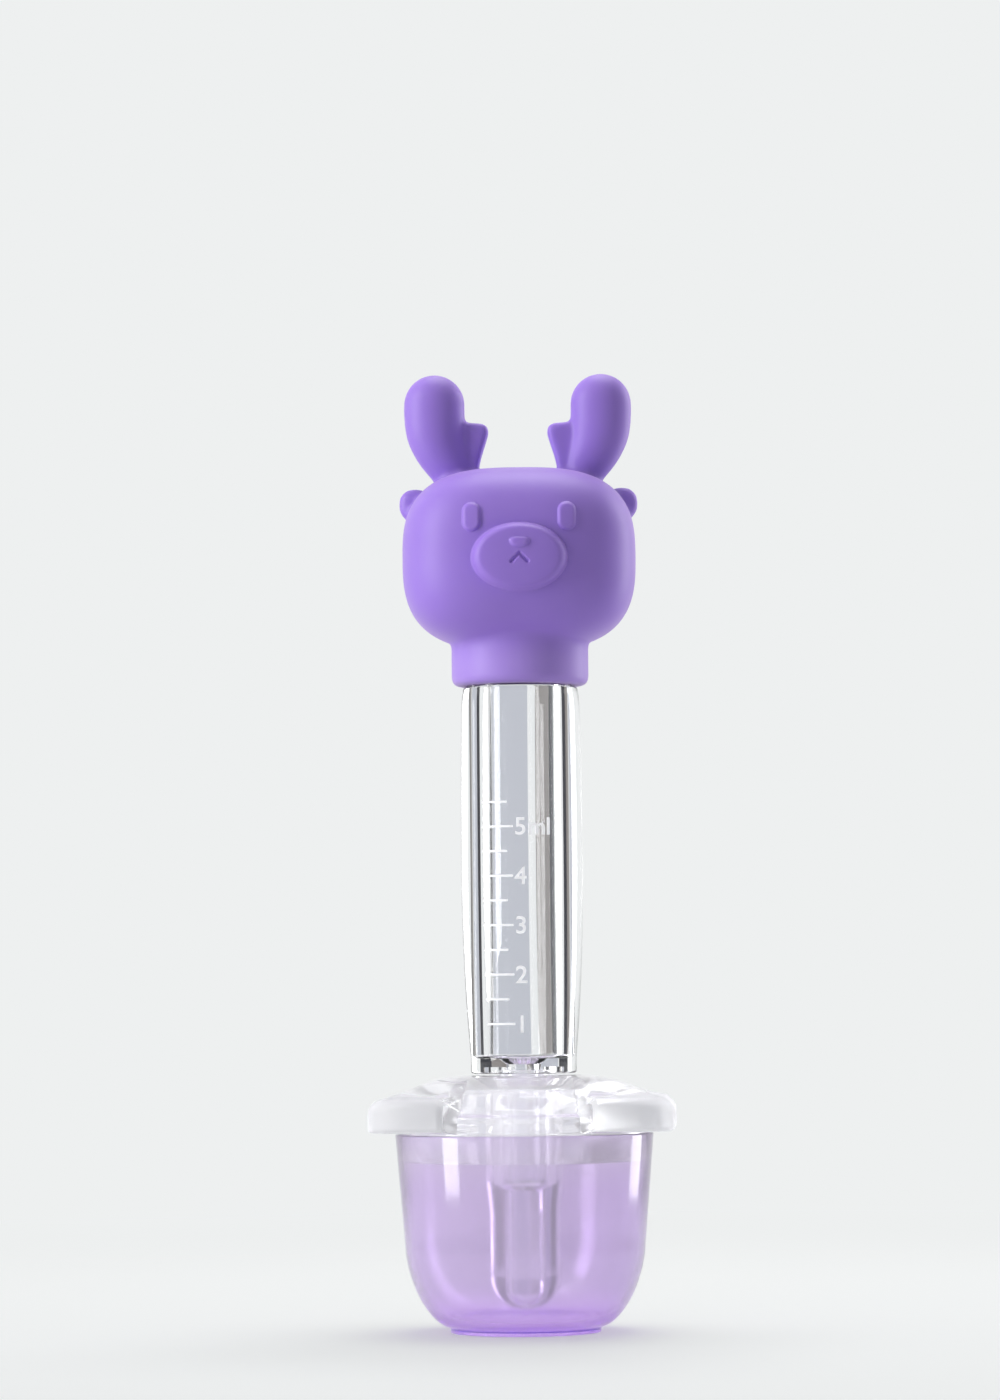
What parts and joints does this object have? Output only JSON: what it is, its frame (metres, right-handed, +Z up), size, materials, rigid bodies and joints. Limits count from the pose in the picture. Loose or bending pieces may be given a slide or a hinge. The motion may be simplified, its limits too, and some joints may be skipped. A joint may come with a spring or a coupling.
{
  "type": "oral medicine dropper",
  "caption": "Squeeze-bulb oral medicine dropper: animal-head silicone bulb, clear graduated barrel, soft feeding teat with a winged mouth shield, and a covering cup it stands in.",
  "frame": {"origin": "centre of the cup's foot, on the surface the dropper stands on", "axes": "+Z up along the dropper's axis from the cup to the bulb, -Y towards the front, where the animal's face and the graduations are, +X to the viewer's right"},
  "size_m": [0.0546, 0.049, 0.1699],
  "materials": {
    "tinted_plastic": "translucent polypropylene, lightly frosted inside, soft gloss outside",
    "clear_silicone": "milky translucent silicone, polished dome and teat, frosted wings",
    "clear_plastic": "clear, polished, thick-walled",
    "lilac_silicone": "opaque matte silicone with a soft sheen"
  },
  "bodies": {
    "cup": {"cup": "tinted_plastic"},
    "teat": {"teat_shield": "clear_silicone"},
    "barrel": {"barrel": "clear_plastic"},
    "bulb": {"squeeze_bulb": "lilac_silicone"}
  },
  "joints": [
    {"name": "teat_lift", "type": "slide", "parent": "cup", "child": "teat", "axis": [0, 0, 1], "range_m": [0, 0.045]},
    {"name": "barrel_pull", "type": "slide", "parent": "teat", "child": "barrel", "axis": [0, 0, 1], "range_m": [0, 0.028]},
    {"name": "bulb_pull", "type": "slide", "parent": "barrel", "child": "bulb", "axis": [0, 0, 1], "range_m": [0, 0.018]}
  ]
}
